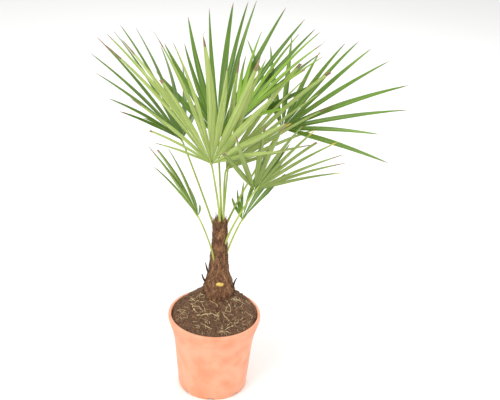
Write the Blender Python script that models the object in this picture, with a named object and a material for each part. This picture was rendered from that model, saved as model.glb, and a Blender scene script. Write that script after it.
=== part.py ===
"""Potted windmill palm: a young fan palm in a terracotta-coloured plastic nursery pot.

Metres, +Z up, origin at the middle of the pot's underside. The viewer of the front stands at -Y.
Each sub-part is one closed solid: the pot, its soil, the trunk, the cut stubs of old stalks, and
for each frond a stalk and a thin blade of its outline, split into segments.
"""

import math
import random

import bmesh
import bpy
from mathutils import Quaternion, Vector
from mathutils.bvhtree import BVHTree

SEAT_GAP = 0.0003

# Pot: a 24 cm nursery pot.
POT_HEIGHT = 0.215
POT_RIM_RADIUS = 0.120
POT_MOUTH_RADIUS = 0.1125
POT_FOOT_RADIUS = 0.0900
POT_TAPER = 0.0195
POT_COVE = 0.0105
COVE_FROM_SHARE = 0.60
COVE_TO_SHARE = 0.94
COVE_POWER = 1.6
POT_CORNER_RADIUS = 0.006
POT_WALL = 0.002
POT_FLOOR = 0.0025
POT_LIP_DROP = 0.013
POT_STEPS = 48
# Shares of the height at which the wall has a ring.
WALL_SHARES = (0.34, 0.62, 0.74, 0.84)
INNER_CORNER_HEIGHT = 0.020
INNER_FLOOR_INSET = 0.012
POT_NOTCHES = 8
NOTCH_WIDTH = 0.015
NOTCH_HEIGHT = 0.0055
NOTCH_LENGTH = 0.045
NOTCH_INSET = 0.006

# Soil: fills the pot and rises to the trunk.
SOIL_EDGE_DROP = 0.012
SOIL_STEPS = 32
SOIL_RINGS = 6
SOIL_LUMP = 0.00175
SOIL_WALL_GAP = 0.0008
SOIL_EDGE_TOP = 0.206
SOIL_FOOT_HEIGHT = 0.024
SOIL_FOOT_INSET = 0.016
SEAT_RADIUS = 0.047
BANK_WIDTH = 0.045
LUMP_FADE = 0.02

# Trunk: a flared foot under a narrow column wrapped in fibre.
TRUNK_X = 0.006
TRUNK_Y = 0.050
TRUNK_FOOT_Z = 0.239
TRUNK_TOP_Z = 0.463
TRUNK_LEAN_X = -0.001
TRUNK_SIDES = 16
TRUNK_SEED = 3
FLARE_SHARE = 0.4
FLARE_LOBES = 0.055
TRUNK_OVAL = 0.025
# Share of the height, radius.
TRUNK_RADII = (
    (0.00, 0.0375),
    (0.09, 0.0405),
    (0.18, 0.0350),
    (0.27, 0.0300),
    (0.34, 0.0252),
    (0.53, 0.0222),
    (0.72, 0.0190),
    (0.90, 0.0178),
    (1.00, 0.0165),
)

# Stalks and blades.
STALK_SIDES = 8
STALK_RINGS = 10
STALK_FLATTEN = 0.75
STALK_ARRIVAL = 0.10
STALK_TAPER_POWER = 0.6
STUB_RINGS = 4
STALK_RADII = (0.0034, 0.0023)
SEGMENT_WIDTH = 0.016
BLADE_HALF_THICKNESS = 0.0014
CLEARANCE = 0.0007
DEG = math.pi / 180
TIP_WIDTH = 0.0020
WEB_SHARE = 0.20
SPLIT_DEEP = 0.35
WIDEST_SPACING = 12.5 * DEG
SHOULDER_ANGLE = 5.2 * DEG
SIDE_ROOM = 0.86
HUB_SHARE = 0.04
# Share of the way from the web to the tip, share of the segment's width.
BREADTHS = ((0.34, 1.0), (0.72, 0.72), (1.0, 0.0))
ARCH_SHARE = 0.035
TILT_STEP = 1.5 * DEG
TILT_STEPS = 25
REACH_SHARES = (1.0, 0.85, 0.7, 0.55)
FOOT_INSET = 0.03


def material(name, colour, roughness):
    """A plain Principled material with a base colour in linear light."""
    made = bpy.data.materials.new(name)
    made.use_nodes = True
    shader = made.node_tree.nodes["Principled BSDF"]
    shader.inputs["Base Color"].default_value = (*colour, 1.0)
    shader.inputs["Roughness"].default_value = roughness
    shader.inputs["Metallic"].default_value = 0.0
    return made


class Frond:
    """One frond: where its stalk leaves the trunk, where its blade starts, and how the blade opens.

    aim is the middle direction of the blade: degrees round from +X, degrees above level, and the
    turn of the blade about that direction. segments are pairs of a bearing across the blade in
    degrees and a reach in millimetres.
    """

    def __init__(self, name, foot, start, aim, segments, rise=0.3, web=WEB_SHARE):
        self.name = name
        self.foot = Vector(foot)
        self.start = Vector(start)
        self.segments = sorted((bearing * DEG, reach / 1000) for bearing, reach in segments)
        self.rise = rise
        round_z, above, turn = (angle * DEG for angle in aim)
        flat = Vector((math.cos(round_z), math.sin(round_z), 0))
        up = Vector((0, 0, 1))
        self.ahead = flat * math.cos(above) + up * math.sin(above)
        face = up * math.cos(above) - flat * math.sin(above)
        self.face = Quaternion(self.ahead, -turn) @ face
        self.side = self.face.cross(self.ahead)
        self.web = web * max(reach for _, reach in self.segments)
        self.tilts = [0.0] * len(self.segments)

    def point(self, bearing, reach, share, tilt, across=0.0):
        """A point on a segment at this share of its reach, arched up between its two ends."""
        flat = self.ahead * math.cos(bearing) + self.side * math.sin(bearing)
        way = flat * math.cos(tilt) + self.face * math.sin(tilt)
        over = self.side * math.cos(bearing) - self.ahead * math.sin(bearing)
        arch = 4 * share * (1 - share) * ARCH_SHARE * reach
        return self.start + way * reach * share + self.face * arch + over * across

    def spacing(self, index, step):
        """The angle to the next segment on that side."""
        other = index + step
        if 0 <= other < len(self.segments):
            return abs(self.segments[other][0] - self.segments[index][0])
        return 2 * SHOULDER_ANGLE

    def half_angle(self, index, step):
        """Half the angle that a segment's foot takes up on that side."""
        gap = self.spacing(index, step)
        return SHOULDER_ANGLE if gap > WIDEST_SPACING else gap / 2

    def shoulders(self, index):
        """The two ends of a segment's foot, where the joined part of the blade stops."""
        bearing = self.segments[index][0]
        return tuple(
            self.point(bearing + step * self.half_angle(index, step), self.web, 1.0, 0.0)
            for step in (-1, 1)
        )

    def split(self, index):
        """The bottom of the deep gap between this segment and the next, or None if they join."""
        if index < 0 or index + 1 >= len(self.segments):
            return None
        if self.spacing(index, 1) <= WIDEST_SPACING:
            return None
        middle = (self.segments[index][0] + self.segments[index + 1][0]) / 2
        return self.point(middle, self.web * SPLIT_DEEP, 1.0, 0.0)

    def rows(self, index, reach=None, tilt=None):
        """Pairs of edge points along a segment, from its foot to its tip."""
        bearing, full = self.segments[index]
        reach = reach or full
        tilt = self.tilts[index] if tilt is None else tilt
        narrow = min(self.spacing(index, -1), self.spacing(index, 1))
        rows = [self.shoulders(index)]
        for step, breadth in BREADTHS:
            share = (self.web + step * (reach - self.web)) / reach
            half = min(SEGMENT_WIDTH * breadth, SIDE_ROOM * narrow * share * reach) / 2
            half = max(half, TIP_WIDTH / 2)
            rows.append(
                tuple(self.point(bearing, reach, share, tilt, way * half) for way in (-1, 1))
            )
        return rows


# Stubs of old stalks: four control points from inside the trunk outwards, the end radii, and how
# flat the section is.
STUBS = {
    "front": (
        [(0.011, 0.032, 0.280), (0.011, 0.020, 0.285), (0.011, 0.014, 0.290), (0.011, 0.010, 0.295)],
        (0.0105, 0.0090),
        0.45,
    ),
    "right": (
        [(0.030, 0.050, 0.254), (0.050, 0.050, 0.252), (0.042, 0.050, 0.276), (0.054, 0.050, 0.292)],
        (0.0042, 0.0014),
        0.75,
    ),
    "left_upper": (
        [(-0.010, 0.046, 0.300), (-0.024, 0.044, 0.304), (-0.026, 0.043, 0.325), (-0.029, 0.043, 0.338)],
        (0.0045, 0.0012),
        0.75,
    ),
    "left_lower": (
        [(-0.015, 0.040, 0.278), (-0.030, 0.038, 0.280), (-0.034, 0.036, 0.295), (-0.037, 0.036, 0.307)],
        (0.0050, 0.0016),
        0.75,
    ),
}

FRONDS = [
    Frond("front", (0.0045, 0.038, 0.4633), (-0.019, 0.000, 0.638), (-118, 70, 0),
          [(-84, 165), (-70, 175), (-54, 250), (-38, 377), (-34, 396), (-29, 372), (-23, 250),
           (-12, 365), (-6, 350), (7, 388), (17, 330), (27, 405), (38, 330), (50, 300), (64, 235)]),
    Frond("front_right", (0.013, 0.044, 0.4633), (0.016, 0.020, 0.615), (-25, 68, 28),
          [(-19, 348), (-6, 330), (10, 334), (21, 300), (31, 346), (38, 300),
           (44, 197), (53, 318), (64, 280), (75, 258)]),
    Frond("right", (0.020, 0.040, 0.395), (0.089, 0.000, 0.571), (-35, 62, 30),
          [(-50, 190), (-38, 250), (-20, 240), (-8, 235), (4, 232), (14, 228), (25, 200), (36, 236),
           (50, 235), (58, 236), (68, 230)]),
    Frond("left", (-0.008, 0.055, 0.425), (-0.099, 0.100, 0.654), (120, 33, -30),
          [(-43, 285), (-28, 320), (-15, 345), (-2, 372), (8, 365), (15, 342), (30, 330), (45, 307),
           (57, 278), (69, 230), (77, 204), (84, 160)], rise=0.12),
    Frond("left_low", (-0.006, 0.036, 0.345), (-0.048, -0.020, 0.505), (150, 50, -30),
          [(-77, 87), (-53, 114), (-39, 209), (-31, 216), (0, 190), (15, 190), (22, 220), (39, 201)],
          web=0.36),
    Frond("right_low", (0.022, 0.048, 0.350), (0.061, 0.030, 0.475), (35, 50, 0),
          [(-12, 160), (-2, 210), (8, 230), (18, 220), (43, 110), (56, 99), (70, 84)], web=0.33),
    Frond("back", (0.0065, 0.062, 0.4633), (-0.007, 0.110, 0.661), (80, 52, 20),
          [(-60, 300), (-48, 330), (-38, 359), (-31, 363), (-21, 368), (-7, 369), (-3, 367),
           (4, 367), (15, 365), (25, 365), (31, 300), (40, 340), (52, 310)]),
    Frond("inner", (0.0125, 0.054, 0.4633), (0.040, 0.045, 0.732), (28, 42, 10),
          [(-59, 184), (-37, 232), (-20, 260), (-8, 276), (5, 300), (20, 290), (36, 270), (52, 240)]),
    Frond("right_back", (0.020, 0.056, 0.440), (0.150, 0.130, 0.685), (35, 30, -12),
          [(-72, 300), (-56, 250), (-41, 318), (-26, 333), (-10, 328), (2, 327), (10, 329), (16, 312),
           (26, 265), (44, 319), (55, 300), (65, 354)], rise=0.15),
]


def add_object(name, mesh_maker, finish):
    """An object from a filled bmesh, its loose doubles merged and its faces turned outwards."""
    mesh = bpy.data.meshes.new(name)
    bmesh.ops.recalc_face_normals(mesh_maker, faces=mesh_maker.faces)
    mesh_maker.to_mesh(mesh)
    mesh_maker.free()
    mesh.materials.append(finish)
    made = bpy.data.objects.new(name, mesh)
    bpy.context.collection.objects.link(made)
    return made


def smooth(made, angle=40):
    made.data.shade_smooth()
    made.data.set_sharp_from_angle(angle=angle * DEG)


def cutter(made):
    made.hide_render = True
    made.display_type = "WIRE"
    return made


def cut(made, tool):
    boolean = made.modifiers.new("cut " + tool.name, "BOOLEAN")
    boolean.operation = "DIFFERENCE"
    boolean.object = tool
    boolean.solver = "EXACT"


def ring(maker, points):
    return [maker.verts.new(point) for point in points]


def bridge(maker, first, second):
    """Quads between two rings of the same count, or triangles to a ring of one point."""
    count = max(len(first), len(second))
    for index in range(count):
        after = (index + 1) % count
        corners = [first[index % len(first)], first[after % len(first)]]
        corners += [second[after % len(second)], second[index % len(second)]]
        unique = list(dict.fromkeys(corners))
        maker.faces.new(unique)


def circle(radius, height, steps):
    for step in range(steps):
        angle = 2 * math.pi * step / steps
        yield Vector((radius * math.cos(angle), radius * math.sin(angle), height))


def turned(name, profile, steps, finish):
    """A closed profile of radius and height pairs, turned about the pot's axis."""
    maker = bmesh.new()
    rings = []
    for radius, height in profile:
        count = 1 if radius == 0 else steps
        rings.append(ring(maker, circle(radius, height, count)))
    for index, first in enumerate(rings):
        second = rings[(index + 1) % len(rings)]
        if len(first) > 1 or len(second) > 1:
            bridge(maker, first, second)
    return add_object(name, maker, finish)


def pot_outer_radius(height):
    """The outer radius: a straight taper, and a cove that swells under the lip."""
    share = height / POT_HEIGHT
    cove = (share - COVE_FROM_SHARE) / (COVE_TO_SHARE - COVE_FROM_SHARE)
    cove = min(1.0, max(0.0, cove))
    return POT_FOOT_RADIUS + POT_TAPER * share + POT_COVE * cove**COVE_POWER


def inner_radius(height):
    return min(pot_outer_radius(height) - POT_WALL, POT_MOUTH_RADIUS)


def pot_profile():
    """Radius and height pairs up the outside, over the lip, and down the inside to the axis."""
    lip = POT_HEIGHT - POT_LIP_DROP
    outer = []
    for step in range(4):
        angle = math.pi / 2 * step / 3
        radius = POT_FOOT_RADIUS - POT_CORNER_RADIUS * (1 - math.sin(angle))
        outer.append((radius, POT_CORNER_RADIUS * (1 - math.cos(angle))))
    walls = [share * POT_HEIGHT for share in WALL_SHARES]
    outer += [(pot_outer_radius(height), height) for height in walls]
    outer.append((pot_outer_radius(lip), lip - 0.001))
    rim = [
        (POT_RIM_RADIUS - 0.0012, lip),
        (POT_RIM_RADIUS, POT_HEIGHT - 0.003),
        (POT_RIM_RADIUS - 0.002, POT_HEIGHT),
        (POT_MOUTH_RADIUS + 0.002, POT_HEIGHT),
        (POT_MOUTH_RADIUS, POT_HEIGHT - 0.0025),
    ]
    inner = [(inner_radius(height), height) for height in (lip, *reversed(walls))]
    inner.append((inner_radius(INNER_CORNER_HEIGHT), INNER_CORNER_HEIGHT))
    inner += [(POT_FOOT_RADIUS - INNER_FLOOR_INSET, POT_FLOOR), (0, POT_FLOOR)]
    return outer + rim + inner + [(0, 0)]


def build_pot(finish):
    pot = turned("pot", pot_profile(), POT_STEPS, finish)
    maker = bmesh.new()
    for notch in range(POT_NOTCHES):
        angle = 2 * math.pi * notch / POT_NOTCHES - math.pi / 2
        made = bmesh.ops.create_cube(maker, size=1.0)
        way = Vector((math.cos(angle), math.sin(angle), 0))
        bmesh.ops.scale(maker, verts=made["verts"], vec=(NOTCH_LENGTH, NOTCH_WIDTH, 2 * NOTCH_HEIGHT))
        bmesh.ops.rotate(
            maker, verts=made["verts"], matrix=way.to_track_quat("X", "Z").to_matrix()
        )
        bmesh.ops.translate(maker, verts=made["verts"], vec=way * (POT_FOOT_RADIUS - NOTCH_INSET))
    notches = cutter(add_object("notch_cutter", maker, finish))
    cut(pot, notches)
    smooth(pot)
    return pot


def soil_height(x, y):
    """The soil's surface: low at the rim, and banked up to the trunk."""
    away = max(0.0, math.hypot(x - TRUNK_X, y - TRUNK_Y) - SEAT_RADIUS)
    edge = POT_HEIGHT - SOIL_EDGE_DROP
    bank = (TRUNK_FOOT_Z - edge) * math.exp(-away / BANK_WIDTH)
    lumps = math.sin(91 * x + 1.3) * math.sin(77 * y + 0.4) + 0.6 * math.sin(170 * x - 140 * y)
    return edge + bank + SOIL_LUMP * lumps * min(1.0, away / LUMP_FADE)


def build_soil(finish):
    """The root ball: the inside of the pot less a seat gap, with a flat seat under the trunk."""
    maker = bmesh.new()
    seat_height = TRUNK_FOOT_Z - SEAT_GAP
    near = Vector((TRUNK_X, TRUNK_Y, 0))
    centre = maker.verts.new((TRUNK_X, TRUNK_Y, seat_height))
    edge = inner_radius(POT_HEIGHT - SOIL_EDGE_DROP) - SOIL_WALL_GAP
    rings = []
    for step in range(SOIL_RINGS):
        points = []
        for far in circle(edge, 0.0, SOIL_STEPS):
            seat = near + (far - near).normalized() * SEAT_RADIUS
            at = seat.lerp(far, step / (SOIL_RINGS - 1))
            at.z = soil_height(at.x, at.y) if step else seat_height
            if step == SOIL_RINGS - 1:
                at.z = min(at.z, SOIL_EDGE_TOP)
            points.append(at)
        rings.append(ring(maker, points))
    for height in (WALL_SHARES[1] * POT_HEIGHT, WALL_SHARES[0] * POT_HEIGHT, SOIL_FOOT_HEIGHT):
        rings.append(ring(maker, circle(inner_radius(height) - SOIL_WALL_GAP, height, SOIL_STEPS)))
    floor = circle(POT_FOOT_RADIUS - SOIL_FOOT_INSET, POT_FLOOR + SEAT_GAP, SOIL_STEPS)
    rings.append(ring(maker, floor))
    bridge(maker, [centre], rings[0])
    for first, second in zip(rings, rings[1:]):
        bridge(maker, first, second)
    maker.faces.new(rings[-1])
    soil = add_object("soil", maker, finish)
    smooth(soil, 60)
    return soil


def trunk_rings(maker, spare=0.0):
    """Rings up the trunk, uneven round the flared foot."""
    seeded = random.Random(TRUNK_SEED)
    phases = [seeded.uniform(0, 2 * math.pi) for _ in range(2)]
    rings = []
    for share, radius in TRUNK_RADII:
        height = TRUNK_FOOT_Z + share * (TRUNK_TOP_Z - TRUNK_FOOT_Z)
        if spare:
            height += spare * (1 if share > 0.5 else -1)
        middle = (TRUNK_X + TRUNK_LEAN_X * share, TRUNK_Y)
        points = []
        for index in range(TRUNK_SIDES):
            angle = 2 * math.pi * index / TRUNK_SIDES
            flare = FLARE_LOBES * max(0.0, 1 - share / FLARE_SHARE)
            uneven = 1 + flare * math.sin(3 * angle + phases[0])
            uneven += TRUNK_OVAL * math.sin(2 * angle + phases[1] + 5 * share)
            reach = radius * uneven + spare
            points.append(
                (middle[0] + reach * math.cos(angle), middle[1] + reach * math.sin(angle), height)
            )
        rings.append(ring(maker, points))
    return rings


def build_trunk(name, finish, spare=0.0):
    maker = bmesh.new()
    rings = trunk_rings(maker, spare)
    for first, second in zip(rings, rings[1:]):
        bridge(maker, first, second)
    maker.faces.new(rings[0])
    maker.faces.new(rings[-1])
    trunk = add_object(name, maker, finish)
    smooth(trunk, 50)
    return trunk


def build_stub(name, path, radii, flatten, finish, trunk_cutter):
    """The cut or dried foot of an old stalk, seated on the trunk."""
    ends = [Vector(point) for point in path]
    points = [bezier(ends, step / STUB_RINGS) for step in range(STUB_RINGS + 1)]
    thick, thin = radii
    sizes = [thick + (thin - thick) * step / STUB_RINGS for step in range(STUB_RINGS + 1)]
    stub = tube("stub_" + name, points, sizes, finish, Vector((1, 0, 0)), flatten)
    cut(stub, trunk_cutter)
    return stub


def bezier(ends, share):
    """A point on the cubic curve through four control points."""
    a, b, c, d = ends
    rest = 1 - share
    return a * rest**3 + b * (3 * rest**2 * share) + c * (3 * rest * share**2) + d * share**3


def stalk_path(frond):
    """Points from the trunk to the blade, leaving upwards and arriving along the blade."""
    end = frond.start - frond.ahead * SEAT_GAP
    length = (end - frond.foot).length
    up = Vector((0, 0, 1))
    ends = (
        frond.foot,
        frond.foot + up.lerp((end - frond.foot).normalized(), 0.5) * length * frond.rise,
        end - frond.ahead * length * STALK_ARRIVAL,
        end,
    )
    return [bezier(ends, step / STALK_RINGS) for step in range(STALK_RINGS + 1)]


def tube(name, path, radii, finish, across, flatten=STALK_FLATTEN, ways=None):
    """A closed tube along a path, widest along across, with flat ends set by ways."""
    maker = bmesh.new()
    rings = []
    for index, at in enumerate(path):
        before = path[max(0, index - 1)]
        after = path[min(len(path) - 1, index + 1)]
        way = (after - before).normalized()
        if ways and index in ways:
            way = ways[index]
        across = (across - way * across.dot(way)).normalized()
        other = way.cross(across)
        points = []
        for step in range(STALK_SIDES):
            angle = 2 * math.pi * step / STALK_SIDES
            points.append(
                at
                + across * math.cos(angle) * radii[index]
                + other * math.sin(angle) * radii[index] * flatten
            )
        rings.append(ring(maker, points))
    for first, second in zip(rings, rings[1:]):
        bridge(maker, first, second)
    maker.faces.new(rings[0])
    maker.faces.new(rings[-1])
    made = add_object(name, maker, finish)
    smooth(made)
    return made


def build_stalk(frond, finish, trunk_cutter):
    """A stalk from the trunk's top or, cut to its surface, from its side."""
    path = stalk_path(frond)
    thick, thin = STALK_RADII
    last = len(path) - 1
    radii = [
        thick + (thin - thick) * (index / last) ** STALK_TAPER_POWER for index in range(last + 1)
    ]
    ways = {last: frond.ahead}
    from_top = frond.foot.z > TRUNK_TOP_Z
    if from_top:
        ways[0] = Vector((0, 0, 1))
    stalk = tube("petiole_" + frond.name, path, radii, finish, frond.side, ways=ways)
    if not from_top:
        cut(stalk, trunk_cutter)
    return stalk


def shell_of(frond, rows, spare=0.0):
    """Vertices and faces of one strip of blade, for testing it against its neighbours."""
    lift = frond.face * (BLADE_HALF_THICKNESS + spare)
    points = [point + lift * way for way in (1, -1) for row in rows for point in row]
    half = 2 * len(rows)
    faces = []
    for index in range(len(rows) - 1):
        low = 2 * index
        faces.append((low, low + 1, low + 3, low + 2))
        faces.append((half + low, half + low + 2, half + low + 3, half + low + 1))
        faces.append((low, low + 2, half + low + 2, half + low))
        faces.append((low + 1, half + low + 1, half + low + 3, low + 3))
    last = half - 2
    faces.append((last, last + 1, half + last + 1, half + last))
    return points, faces


def tree_of(frond, rows, spare=0.0):
    return BVHTree.FromPolygons(*shell_of(frond, rows, spare))


def web_rows(frond, index):
    """The joined part of the blade behind one segment, as two rows."""
    far = frond.shoulders(index)
    return [tuple(frond.start.lerp(point, HUB_SHARE) for point in far), far]


def settle(frond, index, placed):
    """The reach and tilt at which a segment passes clear of all that is placed, or None."""
    reach = frond.segments[index][1]
    for share in REACH_SHARES:
        for step in range(TILT_STEPS):
            size = (step + 1) // 2 * TILT_STEP
            tilt = size if step % 2 else -size
            rows = frond.rows(index, reach * share, tilt)
            low, high = rows[0]
            rows[0] = (low.lerp(high, FOOT_INSET), high.lerp(low, FOOT_INSET))
            tree = tree_of(frond, rows, CLEARANCE)
            if not any(tree.overlap(other) for own, other in placed if own is not frond):
                return reach * share, tilt
    return None


def settle_blades(stalks):
    """Tilts each segment a little out of its blade's plane until it passes clear of the others."""
    graph = bpy.context.evaluated_depsgraph_get()
    placed = [(None, BVHTree.FromObject(stalk, graph)) for stalk in stalks]
    for frond in FRONDS:
        for index in range(len(frond.segments)):
            placed.append((frond, tree_of(frond, web_rows(frond, index))))
    for frond in FRONDS:
        for index, (bearing, _) in enumerate(list(frond.segments)):
            settled = settle(frond, index, placed)
            if settled is None:
                raise ValueError(f"{frond.name} has no clear way at {bearing / DEG:.0f} degrees")
            frond.segments[index] = (bearing, settled[0])
            frond.tilts[index] = settled[1]
            placed.append((frond, tree_of(frond, frond.rows(index))))


def build_blade(frond, finish):
    """One thin closed blade: a web round its hub, and a strip for each segment."""
    maker = bmesh.new()
    lift = frond.face * BLADE_HALF_THICKNESS
    made = {}

    def corner(point, way):
        key = (*(round(value, 6) for value in point), way)
        if key not in made:
            made[key] = maker.verts.new(point + lift * way)
        return made[key]

    def sheet(points):
        maker.faces.new([corner(point, 1) for point in points])
        maker.faces.new([corner(point, -1) for point in reversed(points)])

    def walls(points):
        for first, second in zip(points, points[1:]):
            maker.faces.new(
                [corner(first, 1), corner(first, -1), corner(second, -1), corner(second, 1)]
            )

    last = len(frond.segments) - 1
    for index in range(last + 1):
        rows = frond.rows(index)
        right, left = rows[0]
        before, after = frond.split(index - 1), frond.split(index)
        sheet([frond.start, right, left])
        if before is not None:
            sheet([frond.start, before, right])
            walls([before, right])
        if after is not None:
            sheet([frond.start, left, after])
            walls([left, after])
        if index == 0:
            walls([frond.start, right])
        if index == last:
            walls([left, frond.start])
        for low, high in zip(rows, rows[1:]):
            sheet([low[0], high[0], high[1], low[1]])
        walls([row[0] for row in rows] + [row[1] for row in reversed(rows)])
    return add_object("frond_" + frond.name, maker, finish)


def main():
    for old in list(bpy.data.objects):
        bpy.data.objects.remove(old, do_unlink=True)
    plastic = material("terracotta_plastic", (0.70, 0.30, 0.17), 0.55)
    earth = material("potting_soil", (0.09, 0.05, 0.03), 0.95)
    fibre = material("trunk_fibre", (0.22, 0.12, 0.06), 0.9)
    green = material("stalk_green", (0.33, 0.42, 0.09), 0.5)
    leaf = material("leaf_green", (0.20, 0.33, 0.07), 0.5)
    build_pot(plastic)
    build_soil(earth)
    build_trunk("trunk", fibre)
    trunk_cutter = cutter(build_trunk("trunk_cutter", fibre, SEAT_GAP))
    for name, (path, radii, flatten) in STUBS.items():
        build_stub(name, path, radii, flatten, fibre, trunk_cutter)
    stalks = [build_stalk(frond, green, trunk_cutter) for frond in FRONDS]
    settle_blades(stalks)
    for frond in FRONDS:
        build_blade(frond, leaf)


main()
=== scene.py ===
"""Potted windmill palm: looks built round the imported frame.

A young fan palm with nine fronds stands in a terracotta-coloured nursery pot. Metres, +Z up, the
origin at the middle of the pot's underside, and the viewer of the photo at -Y. The pot, the root
ball, the fibre-wrapped trunk, the stubs, the stalks and the fans each replace their CAD nodes.
"""

from __future__ import annotations

import logging
import math
import random
from dataclasses import dataclass, field
from enum import Enum

import bmesh
import bpy
from mathutils import Matrix, Quaternion, Vector, noise

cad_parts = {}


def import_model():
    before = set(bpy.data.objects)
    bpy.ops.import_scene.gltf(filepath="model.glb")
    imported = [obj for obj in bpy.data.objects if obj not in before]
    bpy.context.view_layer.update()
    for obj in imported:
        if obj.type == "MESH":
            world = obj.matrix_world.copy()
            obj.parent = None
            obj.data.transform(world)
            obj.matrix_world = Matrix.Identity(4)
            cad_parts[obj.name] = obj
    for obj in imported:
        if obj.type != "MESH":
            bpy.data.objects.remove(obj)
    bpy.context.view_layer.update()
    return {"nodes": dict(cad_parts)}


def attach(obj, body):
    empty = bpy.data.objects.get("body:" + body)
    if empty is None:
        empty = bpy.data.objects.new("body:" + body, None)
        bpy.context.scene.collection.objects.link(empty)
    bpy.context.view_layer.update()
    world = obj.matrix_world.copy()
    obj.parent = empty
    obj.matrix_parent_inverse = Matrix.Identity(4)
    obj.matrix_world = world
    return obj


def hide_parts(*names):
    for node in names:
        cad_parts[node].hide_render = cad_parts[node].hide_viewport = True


LOG = logging.getLogger("palm")
DEG = math.pi / 180
UP = Vector((0, 0, 1))
MM = 0.001

# Places shared with the CAD model.
POT_HEIGHT = 0.215
RIM_RADIUS = 0.120
MOUTH_RADIUS = 0.1125
FOOT_RADIUS = 0.0900
TRUNK_X, TRUNK_Y = 0.006, 0.050
TRUNK_FOOT_Z, TRUNK_TOP_Z = 0.239, 0.463
TRUNK_LEAN_X = -0.001
TRUNK_RADII = (
    (0.00, 0.0375),
    (0.09, 0.0405),
    (0.18, 0.0350),
    (0.27, 0.0300),
    (0.34, 0.0252),
    (0.53, 0.0222),
    (0.72, 0.0190),
    (0.90, 0.0178),
    (1.00, 0.0165),
)
ARCH_SHARE = 0.035


def linear(code: str) -> tuple[float, float, float, float]:
    """Turn an sRGB hex colour into linear light.

    Args:
        code: Six hex digits, such as "c98d6b".

    Returns:
        Red, green, blue and an alpha of one.
    """
    parts = [int(code[place : place + 2], 16) / 255 for place in (0, 2, 4)]
    light = [part / 12.92 if part <= 0.04045 else ((part + 0.055) / 1.055) ** 2.4 for part in parts]
    return (*light, 1.0)


def clamp(value: float, low: float = 0.0, high: float = 1.0) -> float:
    """Keep a value between two limits."""
    return max(low, min(high, value))


def ease(value: float) -> float:
    """Turn a share from 0 to 1 into a smooth step."""
    value = clamp(value)
    return value * value * (3 - 2 * value)


def spoke(angle: float) -> Vector:
    """Give the level way out from a middle at an angle."""
    return Vector((math.cos(angle), math.sin(angle), 0))


def bezier(ends: tuple[Vector, ...], share: float) -> Vector:
    """Find a point on the cubic curve through four control points.

    Args:
        ends: The four control points.
        share: How far along the curve, from 0 to 1.

    Returns:
        The point.
    """
    rest = 1 - share
    first, second, third, last = ends
    curve = first * rest**3 + second * (3 * rest**2 * share)
    return curve + third * (3 * rest * share**2) + last * share**3


def add_node(tree: bpy.types.NodeTree, kind: str, links: dict | None = None, **settings) -> bpy.types.Node:
    """Add a node with its settings, socket values and links.

    Args:
        tree: The node tree that gets the node.
        kind: The node's type name.
        links: Input names or numbers, each with a value or an output socket.
        settings: Attributes of the node.

    Returns:
        The new node.
    """
    made = tree.nodes.new(kind)
    for name, value in settings.items():
        setattr(made, name, value)
    for name, value in (links or {}).items():
        if isinstance(value, bpy.types.NodeSocket):
            tree.links.new(value, made.inputs[name])
        else:
            made.inputs[name].default_value = value
    return made


def ramp(tree: bpy.types.NodeTree, factor: bpy.types.NodeSocket,
         stops: list[tuple[float, str]]) -> bpy.types.NodeSocket:
    """Add a colour ramp through hex colours.

    Args:
        tree: The material's node tree.
        factor: The socket that drives the ramp.
        stops: Places from 0 to 1, each with a hex colour.

    Returns:
        The ramp's colour output.
    """
    node = add_node(tree, "ShaderNodeValToRGB", {"Fac": factor})
    elements = node.color_ramp.elements
    while len(elements) < len(stops):
        elements.new(0.5)
    for element, (place, code) in zip(elements, stops):
        element.position = place
        element.color = linear(code)
    return node.outputs["Color"]


class Pattern(Enum):
    """Which coordinates a finish's pattern follows."""

    BODY = "Object"
    LENGTH = "UV"


@dataclass(frozen=True)
class Finish:
    """One surface finish: hex colours mixed by noise, its gloss and its fine relief.

    grain_mm is the size of the pattern's marks, and stretch is how much longer they are along
    the second axis of a UV map, or along Z of the body.
    """

    name: str
    colours: tuple[str, ...]
    roughness: float
    grain_mm: float
    relief_mm: float = 0.1
    stretch: float = 1.0
    pattern: Pattern = Pattern.BODY
    contrast: float = 0.5
    sheen: float = 0.0
    through: float = 0.0

    def build(self) -> bpy.types.Material:
        """Make the material, with its pattern scaled from real millimetres."""
        made = bpy.data.materials.new(self.name)
        made.use_nodes = True
        tree = made.node_tree
        shader = tree.nodes["Principled BSDF"]
        place = add_node(tree, "ShaderNodeTexCoord").outputs[self.pattern.value]
        spread = add_node(tree, "ShaderNodeMapping", {"Vector": place})
        scale = 1 / (self.grain_mm * MM)
        if self.pattern is Pattern.BODY:
            spread.inputs["Scale"].default_value = (scale, scale, scale / self.stretch)
        else:
            spread.inputs["Scale"].default_value = (scale, scale / self.stretch, scale)
        marks = add_node(tree, "ShaderNodeTexNoise", {"Vector": spread.outputs[0], "Scale": 1.0})
        marks.inputs["Detail"].default_value = 3.0
        span = self.contrast / 2
        low, high = 0.5 - span * 0.6, 0.5 + span * 0.6
        count = len(self.colours)
        stops = [
            (low + (high - low) * index / max(1, count - 1), code)
            for index, code in enumerate(self.colours)
        ]
        colour = ramp(tree, marks.outputs["Fac"], stops)
        tree.links.new(colour, shader.inputs["Base Color"])
        relief = add_node(tree, "ShaderNodeBump", {"Height": marks.outputs["Fac"], "Strength": 0.6})
        relief.inputs["Distance"].default_value = self.relief_mm * MM
        tree.links.new(relief.outputs["Normal"], shader.inputs["Normal"])
        shader.inputs["Roughness"].default_value = self.roughness
        shader.inputs["Sheen Weight"].default_value = self.sheen
        shader.inputs["Subsurface Weight"].default_value = self.through
        shader.inputs["Subsurface Scale"].default_value = 0.002
        return made


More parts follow.
